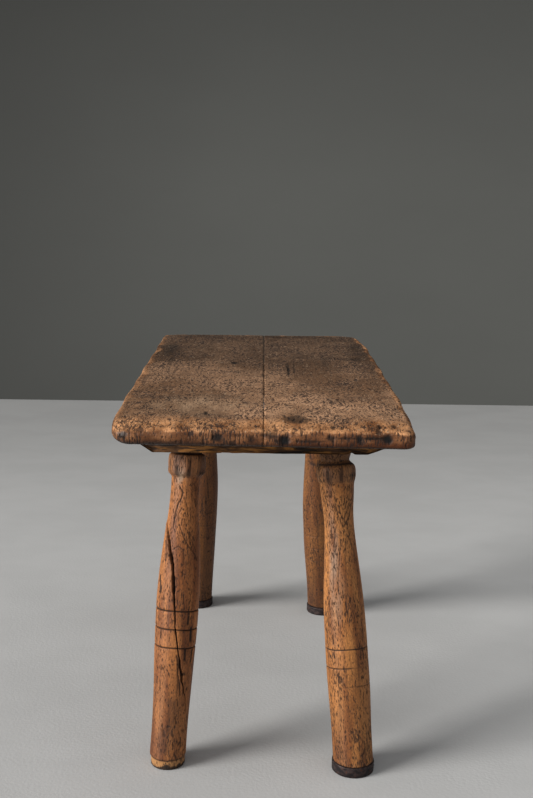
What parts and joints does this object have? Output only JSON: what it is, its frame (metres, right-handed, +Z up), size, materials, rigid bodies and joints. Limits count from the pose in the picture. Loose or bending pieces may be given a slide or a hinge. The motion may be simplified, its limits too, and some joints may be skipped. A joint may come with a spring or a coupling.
{
  "type": "milking stool",
  "caption": "Long narrow wooden stool: a flat seat of butted boards on cross battens, held up by splayed turned legs with ringed swells and iron-shod feet.",
  "frame": {"origin": "on the floor, under the middle of the seat", "axes": "+Y along the seat boards towards the rear end, +X across them towards the right, +Z up"},
  "size_m": [0.264, 0.56, 0.35],
  "materials": {
    "seat_wood": "very old open-grained hardwood, pitted and handled smooth, dark grey-brown on top and orange-brown where the edges have worn",
    "batten_wood": "rough-sawn hardwood, dark golden brown, never polished",
    "leg_wood": "turned hardwood, honey brown, satin from handling, with open pores, shakes and dark rings",
    "iron": "black forged iron, dull and lightly rusted"
  },
  "bodies": {
    "root": {"seat_board_left": "seat_wood", "seat_board_right": "seat_wood", "batten_front": "batten_wood", "batten_rear": "batten_wood", "leg_front_left": "leg_wood", "leg_front_right": "leg_wood", "leg_rear_left": "leg_wood", "leg_rear_right": "leg_wood", "ferrule_front_right": "iron", "ferrule_rear_left": "iron", "ferrule_rear_right": "iron", "batten_nails_front": "iron", "batten_nails_rear": "iron"}
  },
  "joints": []
}
